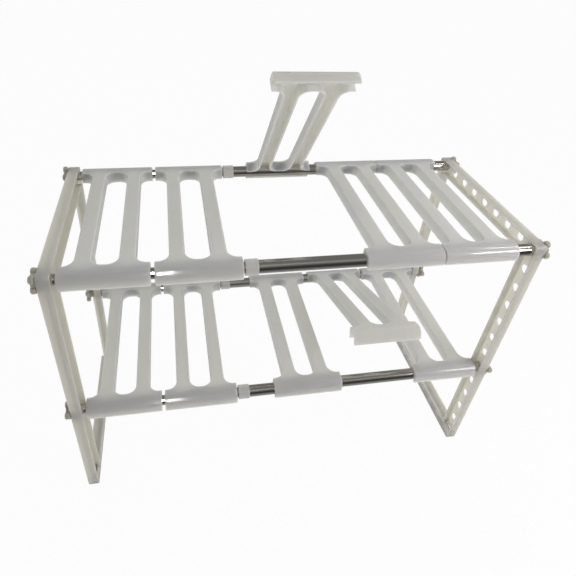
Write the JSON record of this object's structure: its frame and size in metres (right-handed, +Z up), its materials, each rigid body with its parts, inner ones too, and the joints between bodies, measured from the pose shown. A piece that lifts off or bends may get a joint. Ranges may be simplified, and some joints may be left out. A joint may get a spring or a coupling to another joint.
{
  "type": "under-sink organizer",
  "caption": "Expandable tiered rack with moulded end frames, telescopic steel rails and clip-on slatted panels that hinge up on their rear rails to clear pipes.",
  "frame": {"origin": "on the floor, midway between the end frames and midway from front to rear", "axes": "+X along the rails to the right frame, +Y to the rear, +Z up"},
  "size_m": [0.5746, 0.2417, 0.5514],
  "materials": {
    "frame_plastic": "moulded polypropylene, satin white",
    "panel_plastic": "moulded polypropylene, semi-gloss white",
    "collar_plastic": "moulded polypropylene, satin white",
    "plug_plastic": "moulded polypropylene, satin white",
    "screw_plastic": "moulded nylon, satin off-white",
    "steel_tube": "polished stainless tube"
  },
  "bodies": {
    "left_half": {"left_end_frame": "frame_plastic", "upper_front_inner_tube": "steel_tube", "left_upper_front_end_plug": "plug_plastic", "upper_rear_inner_tube": "steel_tube", "left_upper_rear_end_plug": "plug_plastic", "lower_front_inner_tube": "steel_tube", "left_lower_front_end_plug": "plug_plastic", "lower_rear_inner_tube": "steel_tube", "left_lower_rear_end_plug": "plug_plastic"},
    "right_half": {"right_end_frame": "frame_plastic", "upper_front_outer_tube": "steel_tube", "upper_front_collar": "collar_plastic", "right_upper_front_end_plug": "plug_plastic", "upper_rear_outer_tube": "steel_tube", "upper_rear_collar": "collar_plastic", "right_upper_rear_end_plug": "plug_plastic", "lower_front_outer_tube": "steel_tube", "lower_front_collar": "collar_plastic", "right_lower_front_end_plug": "plug_plastic", "lower_rear_outer_tube": "steel_tube", "lower_rear_collar": "collar_plastic", "right_lower_rear_end_plug": "plug_plastic"},
    "upper_panel_1": {"upper_panel_1": "panel_plastic"},
    "upper_panel_2": {"upper_panel_2": "panel_plastic"},
    "upper_panel_3": {"upper_panel_3": "panel_plastic"},
    "upper_panel_4": {"upper_panel_4": "panel_plastic"},
    "upper_panel_5": {"upper_panel_5": "panel_plastic"},
    "lower_panel_1": {"lower_panel_1": "panel_plastic"},
    "lower_panel_2": {"lower_panel_2": "panel_plastic"},
    "lower_panel_3": {"lower_panel_3": "panel_plastic"},
    "lower_panel_4": {"lower_panel_4": "panel_plastic"},
    "lower_panel_5": {"lower_panel_5": "panel_plastic"},
    "left_upper_front_thumb_screw": {"left_upper_front_thumb_screw": "screw_plastic"},
    "left_upper_rear_thumb_screw": {"left_upper_rear_thumb_screw": "screw_plastic"},
    "left_lower_front_thumb_screw": {"left_lower_front_thumb_screw": "screw_plastic"},
    "left_lower_rear_thumb_screw": {"left_lower_rear_thumb_screw": "screw_plastic"},
    "right_upper_front_thumb_screw": {"right_upper_front_thumb_screw": "screw_plastic"},
    "right_upper_rear_thumb_screw": {"right_upper_rear_thumb_screw": "screw_plastic"},
    "right_lower_front_thumb_screw": {"right_lower_front_thumb_screw": "screw_plastic"},
    "right_lower_rear_thumb_screw": {"right_lower_rear_thumb_screw": "screw_plastic"}
  },
  "joints": [
    {"name": "width_slide", "type": "slide", "parent": "left_half", "child": "right_half", "axis": [1, 0, 0], "range_m": [-0.0015, 0.075]},
    {"name": "upper_panel_1_hinge", "type": "hinge", "parent": "left_half", "child": "upper_panel_1", "pos_m": [-0.217, 0.1075, 0.37], "axis": [-1, 0, 0], "range_deg": [0, 105]},
    {"name": "upper_panel_2_hinge", "type": "hinge", "parent": "left_half", "child": "upper_panel_2", "pos_m": [-0.121, 0.1075, 0.37], "axis": [-1, 0, 0], "range_deg": [0, 105]},
    {"name": "upper_panel_3_hinge", "type": "hinge", "parent": "right_half", "child": "upper_panel_3", "pos_m": [0.006, 0.1075, 0.37], "axis": [-1, 0, 0], "range_deg": [-52.5, 52.5]},
    {"name": "upper_panel_4_hinge", "type": "hinge", "parent": "right_half", "child": "upper_panel_4", "pos_m": [0.108, 0.1075, 0.37], "axis": [-1, 0, 0], "range_deg": [0, 105]},
    {"name": "upper_panel_5_hinge", "type": "hinge", "parent": "right_half", "child": "upper_panel_5", "pos_m": [0.201, 0.1075, 0.37], "axis": [-1, 0, 0], "range_deg": [0, 105]},
    {"name": "lower_panel_1_hinge", "type": "hinge", "parent": "left_half", "child": "lower_panel_1", "pos_m": [-0.217, 0.1075, 0.16], "axis": [-1, 0, 0], "range_deg": [0, 55]},
    {"name": "lower_panel_2_hinge", "type": "hinge", "parent": "left_half", "child": "lower_panel_2", "pos_m": [-0.121, 0.1075, 0.16], "axis": [-1, 0, 0], "range_deg": [0, 55]},
    {"name": "lower_panel_3_hinge", "type": "hinge", "parent": "right_half", "child": "lower_panel_3", "pos_m": [0.0205, 0.1075, 0.16], "axis": [-1, 0, 0], "range_deg": [0, 55]},
    {"name": "lower_panel_4_hinge", "type": "hinge", "parent": "right_half", "child": "lower_panel_4", "pos_m": [0.121, 0.1075, 0.16], "axis": [-1, 0, 0], "range_deg": [-19.5, 35.5]},
    {"name": "lower_panel_5_hinge", "type": "hinge", "parent": "right_half", "child": "lower_panel_5", "pos_m": [0.217, 0.1075, 0.16], "axis": [-1, 0, 0], "range_deg": [0, 55]},
    {"name": "left_upper_front_thumb_screw_turn", "type": "hinge", "parent": "left_half", "child": "left_upper_front_thumb_screw", "pos_m": [-0.285, -0.1075, 0.37], "axis": [-1, 0, 0], "continuous": true},
    {"name": "left_upper_rear_thumb_screw_turn", "type": "hinge", "parent": "left_half", "child": "left_upper_rear_thumb_screw", "pos_m": [-0.285, 0.1075, 0.37], "axis": [-1, 0, 0], "continuous": true},
    {"name": "left_lower_front_thumb_screw_turn", "type": "hinge", "parent": "left_half", "child": "left_lower_front_thumb_screw", "pos_m": [-0.285, -0.1075, 0.16], "axis": [-1, 0, 0], "continuous": true},
    {"name": "left_lower_rear_thumb_screw_turn", "type": "hinge", "parent": "left_half", "child": "left_lower_rear_thumb_screw", "pos_m": [-0.285, 0.1075, 0.16], "axis": [-1, 0, 0], "continuous": true},
    {"name": "right_upper_front_thumb_screw_turn", "type": "hinge", "parent": "right_half", "child": "right_upper_front_thumb_screw", "pos_m": [0.285, -0.1075, 0.37], "axis": [1, 0, 0], "continuous": true},
    {"name": "right_upper_rear_thumb_screw_turn", "type": "hinge", "parent": "right_half", "child": "right_upper_rear_thumb_screw", "pos_m": [0.285, 0.1075, 0.37], "axis": [1, 0, 0], "continuous": true},
    {"name": "right_lower_front_thumb_screw_turn", "type": "hinge", "parent": "right_half", "child": "right_lower_front_thumb_screw", "pos_m": [0.285, -0.1075, 0.16], "axis": [1, 0, 0], "continuous": true},
    {"name": "right_lower_rear_thumb_screw_turn", "type": "hinge", "parent": "right_half", "child": "right_lower_rear_thumb_screw", "pos_m": [0.285, 0.1075, 0.16], "axis": [1, 0, 0], "continuous": true}
  ]
}
